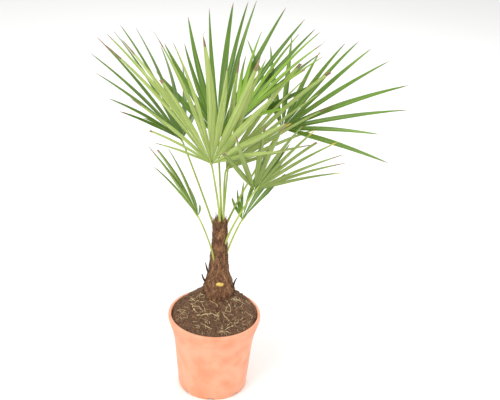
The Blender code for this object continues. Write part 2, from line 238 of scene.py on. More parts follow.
def leaf_skin(name: str, colours: tuple[str, ...], roughness: float) -> Finish:
    """Give a leaf finish: fine streaks along the segment, and a little light through it."""
    return Finish(name, colours, roughness, 3, 0.12, 40, Pattern.LENGTH, through=0.08)


class Finishes:
    """Every finish of the plant and its pot, made once and handed out by name."""

    # Injection-moulded polypropylene with terracotta pigment: an even satin skin, faintly cloudy.
    PLASTIC = Finish("terracotta_polypropylene_moulded", ("e0936e", "e59d79", "e9a684"), 0.48, 40, 0.05)
    # Peat and bark compost, settled: matt; its darkest colour is painted shade, the dark of the gaps between
    # the crumbs, mixed by noise with its own browns.
    COMPOST = Finish("compost_settled", ("2b1c12", "4a3222", "6d4f37", "84634a"), 0.95, 5, 1.2, contrast=0.9)
    CRUMB = Finish("compost_crumb", ("3d281a", "5c402c", "7d5c42", "96765a"), 0.95, 3, 0.5, contrast=0.9)
    BARK_CHIP = Finish("bark_chip_broken", ("7a4a2c", "9a6844", "b5855c"), 0.9, 4, 0.4)
    ROOT = Finish("root_thread_dry", ("b89a6c", "d3bd8c", "e6d7ac"), 0.8, 6, 0.1)
    # Old leaf sheaths, a natural woven fibre: brown cloth of crossing threads.
    FIBRE = Finish(
        "leaf_sheath_fibre", ("3d2416", "6b4630", "8f6544", "b58a5f"), 0.95, 5, 1.2, 4.0, contrast=0.85
    )
    FIBRE_DARK = Finish("fibre_strand_dark", ("3a2317", "5d3c28", "7c563a"), 0.9, 8, 0.1)
    FIBRE_PALE = Finish("fibre_strand_pale", ("8e6844", "b08a5e", "caa678"), 0.9, 8, 0.1)
    # A stalk foot that dried on the plant, and the same freshly cut.
    STUB_DRY = Finish("stalk_foot_dried", ("2a1d12", "46321f", "6a4f31"), 0.85, 6, 0.4, 4.0)
    STUB_CUT = Finish("stalk_foot_cut", ("b08a35", "d6b558", "e3cb78"), 0.8, 4, 0.4)
    # Living stalk: a smooth green rind.
    STALK = Finish("stalk_skin_green", ("8a9b40", "9fb04d", "b0bd5e"), 0.42, 30, 0.05, 3.0)
    # Living palm leaf: a waxy cuticle over parallel veins.
    LEAF_DEEP = leaf_skin("leaf_upper_deep", ("4a6a1c", "5a7d20", "6b8f2c"), 0.38)
    LEAF_MID = leaf_skin("leaf_upper_mid", ("56771f", "668a26", "789b38"), 0.4)
    LEAF_BRIGHT = leaf_skin("leaf_upper_bright", ("6b9222", "7fa52a", "92b63c"), 0.4)
    LEAF_PALE = leaf_skin("leaf_under_pale", ("84994a", "98ab58", "a9ba6c"), 0.55)
    LEAF_OLIVE = leaf_skin("leaf_under_olive", ("6f843a", "7f9446", "90a454"), 0.52)
    # The underside again, darker for the fans at the back and the left that sit in shade: painted shade.
    LEAF_UNDER_SHADED = leaf_skin("leaf_under_painted_shade", ("5f7338", "6f8442", "82965a"), 0.55)
    # Leaf tissue that dried or yellowed on the plant.
    TIP_BROWN = Finish("leaf_tip_dry", ("6b543a", "8d7452", "a89070"), 0.8, 3, 0.15, 20, Pattern.LENGTH)
    TIP_YELLOW = Finish("leaf_tip_yellowed", ("b59f3c", "c9b040", "d8c468"), 0.6, 3, 0.1, 20, Pattern.LENGTH)

    def __init__(self) -> None:
        """Start with no material made."""
        self.made: dict[str, bpy.types.Material] = {}

    def get(self, finish: Finish) -> bpy.types.Material:
        """Hand out the material of a finish, making it the first time."""
        if finish.name not in self.made:
            self.made[finish.name] = finish.build()
        return self.made[finish.name]


@dataclass
class Draft:
    """A mesh in the making: points, faces, the finish of each face and a UV for each point."""

    name: str
    points: list[Vector] = field(default_factory=list)
    faces: list[tuple[int, ...]] = field(default_factory=list)
    slots: list[int] = field(default_factory=list)
    places: list[tuple[float, float]] = field(default_factory=list)
    finishes: list[Finish] = field(default_factory=list)

    def slot(self, finish: Finish) -> int:
        """Give the number of a finish in this mesh, adding it when it is new."""
        if finish not in self.finishes:
            self.finishes.append(finish)
        return self.finishes.index(finish)

    def point(self, at: Vector, place: tuple[float, float] = (0.0, 0.0)) -> int:
        """Add a point with its UV place and give its number."""
        self.points.append(at)
        self.places.append(place)
        return len(self.points) - 1

    def face(self, corners: tuple[int, ...], finish: Finish) -> None:
        """Add a face of one finish."""
        self.faces.append(corners)
        self.slots.append(self.slot(finish))

    def wall(self, rings: list[list[int]], finish: Finish) -> None:
        """Join each ring of points to the next by a row of faces."""
        for low, high in zip(rings, rings[1:]):
            for side in range(len(low)):
                after = (side + 1) % len(low)
                self.face((low[side], low[after], high[after], high[side]), finish)

    def tube(self, path: list[Vector], radii: list[float], finish: Finish, sides: int = 3,
             across: Vector | None = None, flatten: float = 1.0, cap: Finish | None = None) -> None:
        """Add a closed tube along a path.

        Args:
            path: The points of its middle line.
            radii: Its radius at each point.
            finish: The finish of its wall.
            sides: How many sides it has.
            across: The way in which it is widest, when it is flattened.
            flatten: Its thickness as a share of its width.
            cap: The finish of its far end, when it differs.
        """
        rings = []
        for index, at in enumerate(path):
            way = (path[min(index + 1, len(path) - 1)] - path[max(index - 1, 0)]).normalized()
            if across is None:
                across = way.orthogonal()
            across = (across - way * across.dot(way)).normalized()
            other = way.cross(across)
            ring = []
            for side in range(sides):
                angle = 2 * math.pi * side / sides
                out = across * math.cos(angle) + other * (math.sin(angle) * flatten)
                place = (side / sides * radii[index] * 6, index * 0.01)
                ring.append(self.point(at + out * radii[index], place))
            rings.append(ring)
        self.wall(rings, finish)
        self.face(tuple(reversed(rings[0])), finish)
        self.face(tuple(rings[-1]), cap or finish)

    def build(self, store: Finishes, smooth: float | None = 45) -> bpy.types.Object:
        """Turn the draft into an object.

        Args:
            store: Where its materials come from.
            smooth: The angle in degrees past which an edge stays sharp, or None for flat faces.

        Returns:
            The object, at the origin.
        """
        mesh = bpy.data.meshes.new(self.name)
        mesh.from_pydata([tuple(point) for point in self.points], [], self.faces)
        for finish in self.finishes:
            mesh.materials.append(store.get(finish))
        mesh.polygons.foreach_set("material_index", self.slots)
        layer = mesh.uv_layers.new(name="UVMap")
        for loop in mesh.loops:
            layer.data[loop.index].uv = self.places[loop.vertex_index]
        mesh.update()
        if smooth is not None:
            mesh.shade_smooth()
            mesh.set_sharp_from_angle(angle=smooth * DEG)
        return link(self.name, mesh)


def link(name: str, data: bpy.types.ID) -> bpy.types.Object:
    """Make an object of some data and link it to the scene."""
    made = bpy.data.objects.new(name, data)
    bpy.context.scene.collection.objects.link(made)
    return made


def mesh_of(maker: bmesh.types.BMesh, name: str) -> bpy.types.Mesh:
    """Turn a bmesh into a mesh and free it."""
    mesh = bpy.data.meshes.new(name)
    maker.to_mesh(mesh)
    maker.free()
    return mesh


def settle(piece: bpy.types.Object, slot: str, *nodes: str) -> None:
    """Hand a piece to the frame: attach it to the root body and hide the CAD nodes that it replaces.

    Args:
        piece: The finished piece.
        slot: Not used.
        nodes: The CAD nodes that it stands for.
    """
    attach(piece, "root")
    if nodes:
        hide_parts(*nodes)
    LOG.info("%s: %d faces", piece.name, len(piece.data.polygons))


class Scatter:
    """A Geometry Nodes tree that spreads turned copies of one small shape over a surface."""

    INPUTS = (
        ("Density", "NodeSocketFloat"),
        ("Seed", "NodeSocketInt"),
        ("Smallest", "NodeSocketFloat"),
        ("Largest", "NodeSocketFloat"),
        ("Least turn", "NodeSocketFloat"),
        ("Most turn", "NodeSocketFloat"),
        ("Shape", "NodeSocketObject"),
        ("Finish", "NodeSocketMaterial"),
    )
    SIZE_SEED = 7

    def __init__(self) -> None:
        """Build the tree."""
        tree = bpy.data.node_groups.new("scatter_on_surface", "GeometryNodeTree")
        tree.interface.new_socket("Geometry", in_out="INPUT", socket_type="NodeSocketGeometry")
        for name, kind in self.INPUTS:
            tree.interface.new_socket(name, in_out="INPUT", socket_type=kind)
        tree.interface.new_socket("Geometry", in_out="OUTPUT", socket_type="NodeSocketGeometry")
        given = add_node(tree, "NodeGroupInput").outputs
        spread = add_node(tree, "GeometryNodeDistributePointsOnFaces", {
            "Mesh": given["Geometry"], "Density": given["Density"], "Seed": given["Seed"]})
        align = "FunctionNodeAlignRotationToVector"
        stand = add_node(tree, align, {"Vector": spread.outputs["Normal"]}, axis="Z")
        upright = add_node(tree, align, {"Rotation": stand.outputs["Rotation"], "Vector": tuple(UP)},
                           axis="X", pivot_axis="Z")
        turn = add_node(tree, "FunctionNodeRandomValue", {
            2: given["Least turn"], 3: given["Most turn"], "Seed": given["Seed"]})
        spin = add_node(tree, "FunctionNodeAxisAngleToRotation", {
            "Axis": tuple(UP), "Angle": turn.outputs[1]})
        turned = add_node(tree, "FunctionNodeRotateRotation", {
            "Rotation": upright.outputs["Rotation"], "Rotate By": spin.outputs["Rotation"]},
            rotation_space="LOCAL")
        size = add_node(tree, "FunctionNodeRandomValue", {
            2: given["Smallest"], 3: given["Largest"], "Seed": self.SIZE_SEED})
        shape = add_node(tree, "GeometryNodeObjectInfo", {"Object": given["Shape"]})
        copies = add_node(tree, "GeometryNodeInstanceOnPoints", {
            "Points": spread.outputs["Points"], "Instance": shape.outputs["Geometry"],
            "Rotation": turned.outputs["Rotation"], "Scale": size.outputs[1]})
        real = add_node(tree, "GeometryNodeRealizeInstances", {"Geometry": copies.outputs[0]})
        dressed = add_node(tree, "GeometryNodeSetMaterial", {
            "Geometry": real.outputs[0], "Material": given["Finish"]})
        add_node(tree, "NodeGroupOutput", {"Geometry": dressed.outputs[0]})
        self.tree = tree

    def spread(self, name: str, ground: bpy.types.Object, shape: bpy.types.Object,
               finish: bpy.types.Material, **values: float) -> bpy.types.Object:
        """Spread a shape over a surface and give the result as a plain mesh.

        Args:
            name: The name of the new piece.
            ground: The surface.
            shape: The small shape, standing on its own XY plane with its length along X.
            finish: The material of the copies.
            values: The tree's other inputs, by name with underscores for spaces.

        Returns:
            The new object, at the origin.
        """
        holder = link(name + "_holder", ground.data)
        modifier = holder.modifiers.new("scatter", "NODES")
        modifier.node_group = self.tree
        given = {key.replace("_", " "): value for key, value in values.items()}
        given |= {"Shape": shape, "Finish": finish}
        for item in self.tree.interface.items_tree:
            if item.in_out == "INPUT" and item.name in given:
                modifier[item.identifier] = given[item.name]
        graph = bpy.context.evaluated_depsgraph_get()
        mesh = bpy.data.meshes.new_from_object(holder.evaluated_get(graph), depsgraph=graph)
        holder.modifiers.remove(modifier)
        bpy.data.objects.remove(holder)
        mesh.name = name
        return link(name, mesh)


class Studio:
    """The pale floor, the soft lights and the camera at the photo's viewing angle."""

    CAMERA_AT = Vector((0.0782, -2.2038, 1.6371))
    PITCH = 26.34 * DEG
    ROLL = 2.8 * DEG
    LENS = 72.0
    SENSOR = 36.0
    FLOOR_SIDE = 14.0
    LIT = Vector((0, 0, 0.45))
    SURROUNDINGS = 0.85

    def build(self) -> None:
        """Make the camera, the floor, the lights and the pale surroundings."""
        self.camera()
        self.floor()
        self.lights()

    def camera(self) -> None:
        """Place the camera: pitched down at the plant and rolled a little, as in the photo."""
        ahead = Vector((0, math.cos(self.PITCH), -math.sin(self.PITCH)))
        level_up = Vector((0, math.sin(self.PITCH), math.cos(self.PITCH)))
        side = Vector((1, 0, 0))
        right = side * math.cos(self.ROLL) + level_up * math.sin(self.ROLL)
        above = level_up * math.cos(self.ROLL) - side * math.sin(self.ROLL)
        data = bpy.data.cameras.new("camera")
        data.lens = self.LENS
        data.sensor_width = self.SENSOR
        made = link("camera", data)
        turn = Matrix((right, above, -ahead)).transposed().to_4x4()
        made.matrix_world = Matrix.Translation(self.CAMERA_AT) @ turn
        bpy.context.scene.camera = made

    def floor(self) -> None:
        """Lay the floor, a plain pale sheet."""
        half = self.FLOOR_SIDE / 2
        mesh = bpy.data.meshes.new("floor")
        corners = [(-half, -half, 0), (half, -half, 0), (half, half, 0), (-half, half, 0)]
        mesh.from_pydata(corners, [], [(0, 1, 2, 3)])
        pale = bpy.data.materials.new("floor_paper_matt")
        pale.use_nodes = True
        shader = pale.node_tree.nodes["Principled BSDF"]
        shader.inputs["Base Color"].default_value = linear("f6f6f5")
        shader.inputs["Roughness"].default_value = 0.9
        mesh.materials.append(pale)
        link("floor", mesh)

    def lights(self) -> None:
        """Hang three soft lights, and light the surroundings."""
        lights = (
            ("key", (-1.6, -1.8, 2.6), 2.2, 62.0),
            ("fill", (2.4, -1.6, 1.8), 2.4, 26.0),
            ("back", (0.4, 2.4, 2.6), 2.6, 34.0),
        )
        for name, at, size, power in lights:
            data = bpy.data.lights.new(name, "AREA")
            data.shape = "DISK"
            data.size = size
            data.energy = power
            made = link(name, data)
            made.location = at
            made.rotation_euler = (self.LIT - Vector(at)).to_track_quat("-Z", "Y").to_euler()
        world = bpy.data.worlds.new("pale_surroundings")
        world.use_nodes = True
        ground = world.node_tree.nodes["Background"]
        ground.inputs["Color"].default_value = linear("ffffff")
        ground.inputs["Strength"].default_value = self.SURROUNDINGS
        bpy.context.scene.world = world
        bpy.context.scene.view_settings.view_transform = "Standard"


@dataclass
class Pot:
    """A moulded nursery pot: tapered wall, coved shoulder, rolled lip and a foot with notches."""

    steps: int = 192
    taper: float = 0.0195
    cove: float = 0.0105
    wall: float = 0.0022
    lip_drop: float = 0.013
    notches: int = 8
    notch_height: float = 0.0055
    notch_half_angle: float = 4.8 * DEG

    def radius(self, height: float) -> float:
        """Give the wall's outer radius at a height."""
        share = height / POT_HEIGHT
        swell = clamp((share - 0.60) / 0.34)
        return FOOT_RADIUS + self.taper * share + self.cove * swell**1.6

    def profile(self) -> list[tuple[float, float]]:
        """List radius and height pairs from the foot, over the lip, down to the inner floor."""
        lip = POT_HEIGHT - self.lip_drop
        points = [(FOOT_RADIUS - 0.0075, 0.0), (FOOT_RADIUS - 0.0030, 0.0)]
        points += [(FOOT_RADIUS - 0.0012, 0.0008), (FOOT_RADIUS - 0.0002, 0.0030)]
        points += [(self.radius(height * MM), height * MM) for height in range(7, 184, 8)]
        # A shallow moulded bead sits below the lip.
        bead = 0.1875
        points += [(self.radius(bead) + out, bead + up) for out, up in
                   ((0.0, -0.0020), (0.0006, -0.0010), (0.0006, 0.0010), (0.0, 0.0020))]
        points += [(self.radius(lip) - 0.0004, lip - 0.004), (self.radius(lip) - 0.0004, lip - 0.0004)]
        points += [(RIM_RADIUS - 0.0010, lip), (RIM_RADIUS - 0.0003, lip + 0.0008)]
        points += [(RIM_RADIUS, POT_HEIGHT - 0.0035), (RIM_RADIUS - 0.0006, POT_HEIGHT - 0.0012)]
        points += [(RIM_RADIUS - 0.0020, POT_HEIGHT - 0.0001), (MOUTH_RADIUS + 0.0020, POT_HEIGHT)]
        points += [(MOUTH_RADIUS + 0.0004, POT_HEIGHT - 0.0010), (MOUTH_RADIUS, POT_HEIGHT - 0.0030)]
        inner = [0.200, 0.185, 0.16, 0.13, 0.09, 0.05, 0.02, 0.008]
        points += [(min(self.radius(height) - self.wall, MOUTH_RADIUS), height) for height in inner]
        points += [(FOOT_RADIUS - 0.009, 0.0058), (0.045, 0.0055), (0.0, 0.0055)]
        return points

    def build(self, store: Finishes) -> None:
        """Turn the profile, cut the notches into the foot and close the underside."""
        draft = Draft("pot_moulded")
        profile = self.profile() + [(0.0, 0.0035), (0.045, 0.0035), (FOOT_RADIUS - 0.0078, 0.0035)]
        rings = []
        for index, (radius, height) in enumerate(profile):
            if radius == 0.0:
                rings.append([draft.point(Vector((0, 0, height)))])
                continue
            ring = []
            for step in range(self.steps):
                angle = 2 * math.pi * step / self.steps
                lifted = height
                if height < self.notch_height and radius > FOOT_RADIUS - 0.008:
                    lifted = max(height, self.notch(angle))
                at = Vector((radius * math.cos(angle), radius * math.sin(angle), lifted))
                ring.append(draft.point(at))
            rings.append(ring)
        for low, high in zip(rings, rings[1:] + rings[:1]):
            for step in range(self.steps):
                after = (step + 1) % self.steps
                corners = [low[step % len(low)], low[after % len(low)]]
                corners += [high[after % len(high)], high[step % len(high)]]
                unique = tuple(dict.fromkeys(corners))
                if len(unique) > 2:
                    draft.face(unique, Finishes.PLASTIC)
        settle(draft.build(store, 40), "pot", "pot")

    def notch(self, angle: float) -> float:
        """Give how far the foot's edge is raised at an angle round the pot."""
        pitch = 2 * math.pi / self.notches
        away = abs((angle + math.pi / 2 + pitch / 2) % pitch - pitch / 2)
        return self.notch_height if away < self.notch_half_angle else 0.0


@dataclass
class RootBall:
    """The compost: a lumpy surface low at the rim, crumbs, bark chips and dry root threads."""

    edge_radius: float = 0.1112
    edge_drop: float = 0.012
    rings: int = 40
    steps: int = 128
    ground_rings: int = 24
    ground_steps: int = 72
    clear_of_trunk: float = 0.036
    thread_count: int = 150
    long_threads: int = 16
    seed: int = 11

    def height(self, at: Vector) -> float:
        """Give the surface's height: a bank up to the trunk, hollows at the rim, and lumps."""
        away = max(0.0, math.hypot(at.x - TRUNK_X, at.y - TRUNK_Y) - 0.047)
        edge = POT_HEIGHT - self.edge_drop
        bank = (TRUNK_FOOT_Z + 0.002 - edge) * math.exp(-away / 0.045)
        fade = clamp(away / 0.02)
        lumps = noise.noise(at * 38) * 0.0042 + noise.noise(at * 95) * 0.0026
        fine = noise.noise(at * 260) * 0.0012
        rim = clamp((at.xy.length - self.edge_radius + 0.012) / 0.012)
        hollow = 0.006 * rim * clamp(0.4 + 0.9 * noise.noise(at * 21 + Vector((3, 1, 0))))
        return edge + bank + (lumps + 0.0015) * fade + fine - hollow

    def surface(self, store: Finishes) -> bpy.types.Object:
        """Make the whole root ball, closed, with its lumpy top."""
        draft = Draft("root_ball")
        rows = []
        for ring in range(self.rings):
            share = ring / (self.rings - 1)
            row = []
            for step in range(self.steps):
                angle = 2 * math.pi * step / self.steps
                far = spoke(angle) * self.edge_radius
                at = Vector((TRUNK_X, TRUNK_Y, 0)).lerp(far, 0.06 + 0.94 * share)
                at.z = self.height(at)
                row.append(draft.point(at))
            rows.append(row)
        for height, radius in ((0.17, 0.1035), (0.08, 0.0935), (0.012, 0.085), (0.007, 0.075)):
            row = []
            for step in range(self.steps):
                angle = 2 * math.pi * step / self.steps
                at = Vector((radius * math.cos(angle), radius * math.sin(angle), height))
                row.append(draft.point(at))
            rows.append(row)
        for low, high in zip(rows, rows[1:]):
            for step in range(self.steps):
                after = (step + 1) % self.steps
                draft.face((low[step], high[step], high[after], low[after]), Finishes.COMPOST)
        draft.face(tuple(rows[0]), Finishes.COMPOST)
        draft.face(tuple(reversed(rows[-1])), Finishes.COMPOST)
        return draft.build(store, 70)

    def ground(self) -> bpy.types.Object:
        """Make the scratch surface that crumbs and threads are spread on."""
        maker = bmesh.new()
        rows = []
        for ring in range(self.ground_rings):
            share = ring / (self.ground_rings - 1)
            row = []
            for step in range(self.ground_steps):
                angle = 2 * math.pi * step / self.ground_steps
                far = spoke(angle) * (self.edge_radius - 0.003)
                near = Vector((TRUNK_X, TRUNK_Y, 0)) + far.normalized() * self.clear_of_trunk
                at = near.lerp(far, share)
                at.z = self.height(at) - 0.0003
                row.append(maker.verts.new(at))
            rows.append(row)
        for low, high in zip(rows, rows[1:]):
            for step in range(self.ground_steps):
                after = (step + 1) % self.ground_steps
                maker.faces.new((low[step], high[step], high[after], low[after]))
        return link("compost_ground", mesh_of(maker, "compost_ground"))

    def lump(self, name: str, stretch: tuple[float, float, float], seed: float) -> bpy.types.Object:
        """Make one small uneven lump, a unit across.

        Args:
            name: The name of the scratch object.
            stretch: Its size along each axis.
            seed: Where in the noise its unevenness is read.

        Returns:
            The scratch object.
        """
        maker = bmesh.new()
        bmesh.ops.create_icosphere(maker, subdivisions=1, radius=0.5)
        for vertex in maker.verts:
            push = 1 + 0.55 * noise.noise(vertex.co * 2.2 + Vector((seed, 0, 0)))
            vertex.co = Vector(part * size * push for part, size in zip(vertex.co, stretch))
        return bpy.data.objects.new(name, mesh_of(maker, name))

    def threads(self, store: Finishes) -> None:
        """Lay dry root threads over the compost: most short, a few long and pale."""
        seeded = random.Random(self.seed)
        draft = Draft("root_threads")
        for count in range(self.thread_count):
            long = count < self.long_threads
            angle = seeded.uniform(0, 2 * math.pi)
            away = seeded.uniform(0.02, 0.104)
            at = Vector((away * math.cos(angle), away * math.sin(angle), 0))
            heading = seeded.uniform(0, 2 * math.pi)
            steps = seeded.randint(9, 15) if long else seeded.randint(4, 7)
            thick = seeded.uniform(0.0006, 0.0010) if long else seeded.uniform(0.0003, 0.0006)
            path = []
            for _ in range(steps):
                from_trunk = math.hypot(at.x - TRUNK_X, at.y - TRUNK_Y)
                if at.xy.length < self.edge_radius - 0.004 and from_trunk > self.clear_of_trunk:
                    rise = self.height(at) + thick * seeded.uniform(0.4, 2.2)
                    path.append(Vector((at.x, at.y, rise)))
                heading += seeded.uniform(-0.6, 0.6)
                at = at + spoke(heading) * 0.0042
            if len(path) > 3:
                last = len(path) - 1
                radii = [thick * (1 - 0.6 * abs(2 * index / last - 1) ** 2) for index in range(last + 1)]
                draft.tube(path, radii, Finishes.ROOT, 4)
        settle(draft.build(store), "soil")

    def build(self, store: Finishes, scatter: Scatter) -> None:
        """Make the surface and spread what lies on it."""
        settle(self.surface(store), "soil", "soil")
        ground = self.ground()
        spreads = (
            ("compost_crumbs", (1.0, 0.8, 0.7), Finishes.CRUMB, 52000.0, 0.0016, 0.0052, 3),
            ("compost_lumps", (1.0, 0.9, 0.6), Finishes.COMPOST, 9000.0, 0.004, 0.0105, 8),
            ("bark_chips", (1.0, 0.45, 0.2), Finishes.BARK_CHIP, 5200.0, 0.003, 0.0085, 5),
        )
        for name, stretch, finish, density, small, large, seed in spreads:
            shape = self.lump(name + "_shape", stretch, seed)
            piece = scatter.spread(
                name, ground, shape, store.get(finish), Density=density, Seed=seed,
                Smallest=small, Largest=large, Least_turn=-math.pi, Most_turn=math.pi,
            )
            settle(piece, "soil")
            bpy.data.objects.remove(shape)
        bpy.data.objects.remove(ground)
        self.threads(store)


@dataclass(frozen=True)
class Hair:
    """A kind of loose hair: its number of steps, their length, its radius and how far it thins."""

    steps: tuple[int, int]
    stride: tuple[float, float]
    thick: tuple[float, float]
    thins: float

    def grow(self, at: Vector, way: Vector, turn: Vector,
             seeded: random.Random) -> tuple[list[Vector], list[float]]:
        """Let one hair wander on from its root.

        Args:
            at: Its root.
            way: The way in which it starts.
            turn: How that way changes with each step.
            seeded: Where its chances come from.

        Returns:
            The points of its middle line and its radius at each.
        """
        path = [at]
        for _ in range(seeded.randint(*self.steps)):
            way = (way + turn).normalized()
            path.append(path[-1] + way * seeded.uniform(*self.stride))
        last = len(path) - 1
        thick = seeded.uniform(*self.thick)
        return path, [thick * (1 - self.thins * index / last) for index in range(last + 1)]


LOOSE = Hair((4, 8), (0.0012, 0.0030), (0.00012, 0.00026), 0.7)
FRAYED = Hair((6, 10), (0.0022, 0.0036), (0.00025, 0.0006), 0.75)


@dataclass
class Trunk:
    """The trunk: a flared column of old leaf sheaths, woven fibre with loose threads."""

    sides: int = 176
    rows: int = 230
    hair_count: int = 260
    fray_count: int = 120
    seed: int = 21

    def radius(self, share: float) -> float:
        """Give the trunk's radius at a share of its height, smoothed between the sizes."""
        for (low, start), (high, end) in zip(TRUNK_RADII, TRUNK_RADII[1:]):
            if share <= high:
                return start + (end - start) * ease((share - low) / (high - low))
        return TRUNK_RADII[-1][1]

    def middle(self, share: float) -> Vector:
        """Give the trunk's middle at a share of its height."""
        height = TRUNK_FOOT_Z + share * (TRUNK_TOP_Z - TRUNK_FOOT_Z)
        return Vector((TRUNK_X + TRUNK_LEAN_X * share, TRUNK_Y, height))

    def relief(self, angle: float, height: float) -> float:
        """Give how far the fibre stands out: crossing threads, sheath edges and lumps.

        Args:
            angle: Where it is round the trunk.
            height: Where it is above the floor.

        Returns:
            The height of the relief in metres.
        """
        round_way = spoke(angle) * 0.03
        at = Vector((round_way.x, round_way.y, height))
        lean = noise.noise(at * 24) * 1.6
        threads = math.sin(angle * 46 + height * 620 + lean * 3) * 0.5
        threads += math.sin(angle * 46 - height * 560 - lean * 4) * 0.5
        woven = threads * (0.35 + 0.4 * noise.noise(at * 60))
        sheath = (height * 1.0 + angle * 0.011 + lean * 0.004) % 0.034 / 0.034
        edge = math.exp(-((sheath - 0.5) ** 2) / 0.02)
        lumps = noise.noise(at * 55) * 1.6 + noise.noise(at * 130) * 0.9
        return (woven * 0.55 + edge * 0.7 + lumps * 0.8) * MM

    def build(self, store: Finishes, scatter: Scatter) -> None:
        """Make the column, then lay crossing threads and loose hairs on it."""
        draft = Draft("trunk_fibre")
        rows = []
        for row in range(self.rows + 1):
            share = row / self.rows
            middle = self.middle(share)
            points = []
            for side in range(self.sides):
                angle = 2 * math.pi * side / self.sides
                lobes = 1 + 0.055 * max(0.0, 1 - share / 0.4) * math.sin(3 * angle + 1.4)
                reach = self.radius(share) * lobes + self.relief(angle, middle.z)
                top = ease((share - 0.97) / 0.03) * 0.004
                out = spoke(angle) * (reach - top)
                points.append(draft.point(middle + out))
            rows.append(points)
        draft.wall(rows, Finishes.FIBRE)
        draft.face(tuple(reversed(rows[0])), Finishes.FIBRE)
        draft.face(tuple(rows[-1]), Finishes.FIBRE)
        trunk = draft.build(store, 80)
        settle(trunk, "trunk", "trunk")
        spreads = (
            ("trunk_threads_left", 0.45, Finishes.FIBRE_DARK, 21000.0, 1),
            ("trunk_threads_right", -0.45, Finishes.FIBRE_PALE, 15000.0, 2),
            ("trunk_threads_up", 0.0, Finishes.FIBRE_DARK, 12000.0, 3),
        )
        for name, lean, finish, density, seed in spreads:
            shape = self.thread(name + "_shape", 0.016, 0.00028, 0.0008, seed)
            piece = scatter.spread(
                name, trunk, shape, store.get(finish), Density=density, Seed=seed,
                Smallest=0.6, Largest=1.5, Least_turn=lean - 0.35, Most_turn=lean + 0.35,
            )
            settle(piece, "trunk")
            bpy.data.objects.remove(shape)
        self.hairs(store)

    def thread(self, name: str, length: float, thick: float, lift: float, seed: int) -> bpy.types.Object:
        """Make one thread that lies along X and rises a little in its middle.

        Args:
            name: The name of the scratch object.
            length: Its length.
            thick: Its radius.
            lift: How far its middle stands off the surface.
            seed: The seed of its waviness.

        Returns:
            The scratch object.
        """
        seeded = random.Random(seed)
        maker = Draft(name)
        steps = 6
        path = []
        for step in range(steps + 1):
            share = step / steps
            side = math.sin(share * math.pi * 1.6) * length * 0.06 + seeded.uniform(-1, 1) * 0.0003
            path.append(Vector(((share - 0.5) * length, side, lift * math.sin(math.pi * share))))
        radii = [thick * (0.45 + 0.55 * math.sin(math.pi * step / steps)) for step in range(steps + 1)]
        maker.tube(path, radii, Finishes.FIBRE_DARK, 3)
        mesh = bpy.data.meshes.new(name)
        mesh.from_pydata([tuple(point) for point in maker.points], [], maker.faces)
        mesh.shade_smooth()
        return bpy.data.objects.new(name, mesh)

    def hairs(self, store: Finishes) -> None:
        """Let loose hairs stand off the column, and fray its top round the stalks."""
        seeded = random.Random(self.seed)
        draft = Draft("trunk_hairs")
        for _ in range(self.hair_count):
            share = seeded.uniform(0.02, 0.98) ** 0.8
            angle = seeded.uniform(0, 2 * math.pi)
            start = self.middle(share)
            out = spoke(angle)
            at = start + out * (self.radius(share) - 0.001)
            way = (out * seeded.uniform(0.5, 1.3) + UP * seeded.uniform(-0.5, 1.3)).normalized()
            turn = Vector((seeded.uniform(-1, 1), seeded.uniform(-1, 1), seeded.uniform(-0.6, 1))) * 0.22
            path, radii = LOOSE.grow(at, way, turn, seeded)
            draft.tube(path, radii, seeded.choice((Finishes.FIBRE_DARK, Finishes.FIBRE_PALE)), 3)
        for count in range(self.fray_count):
            angle = seeded.uniform(0, 2 * math.pi)
            out = spoke(angle)
            top = self.middle(1.0)
            at = top + out * self.radius(1.0) * seeded.uniform(0.55, 0.98) - UP * seeded.uniform(0.004, 0.02)
            way = (UP * 1.2 + out * seeded.uniform(0.0, 0.5)).normalized()
            bend = out * seeded.uniform(-0.10, 0.16)
            bend += Vector((seeded.uniform(-1, 1), seeded.uniform(-1, 1), 0)) * 0.08
            path, radii = FRAYED.grow(at, way, bend, seeded)
            finish = Finishes.FIBRE_PALE if count % 3 else Finishes.FIBRE_DARK
            draft.tube(path, radii, finish, 3)
        settle(draft.build(store), "trunk")


@dataclass(frozen=True)
class Stub:
    """The foot of an old stalk: its route out of the trunk, its end radii and its finishes."""

    name: str
    ends: tuple[Vector, Vector, Vector, Vector]
    radii: tuple[float, float]
    flatten: float
    skin: Finish
    cap: Finish

    def build(self, store: Finishes) -> None:
        """Make the stub, a little uneven along its length."""
        steps = 16
        path = [bezier(self.ends, step / steps) for step in range(steps + 1)]
        thick, thin = self.radii
        radii = []
        for index, at in enumerate(path):
            ridge = 1 + 0.10 * noise.noise(at * 220)
            radii.append((thick + (thin - thick) * index / steps) * ridge)
        draft = Draft("stub_" + self.name + "_dry")
        draft.tube(path, radii, self.skin, 14, Vector((1, 0, 0)), self.flatten, self.cap)
        settle(draft.build(store, 50), "stub", "stub_" + self.name)


class Tip(Enum):
    """How a segment of a fan ends: its share of dry length and how narrow its end is."""

    POINTED = (0.045, 0.06)
    BROWN = (0.13, 0.09)
    YELLOW = (0.09, 0.22)
    CUT = (0.025, 0.62)
    WHISKER = (0.10, 0.05)


@dataclass(frozen=True)
class Leaf:
    """One segment of a fan.

    bearing and reach are its place on the fan in degrees and millimetres. wide is its full width
    in millimetres, sway bends its outer part sideways, droop bends it down, and roll turns it.
    """

    bearing: float
    reach: float
    wide: float = 15.0
    tip: Tip = Tip.POINTED
    sway: float = 0.0
    droop: float = 0.0
    roll: float = 0.0


class Tone(Enum):
    """The upper and lower finishes of a fan."""

    PALE = (Finishes.LEAF_MID, Finishes.LEAF_PALE)
    OLIVE = (Finishes.LEAF_MID, Finishes.LEAF_OLIVE)
    # DEEP and MID take the darkened underside, painted shade for the fans at the back.
    DEEP = (Finishes.LEAF_DEEP, Finishes.LEAF_UNDER_SHADED)
    MID = (Finishes.LEAF_MID, Finishes.LEAF_UNDER_SHADED)
    BRIGHT = (Finishes.LEAF_BRIGHT, Finishes.LEAF_OLIVE)


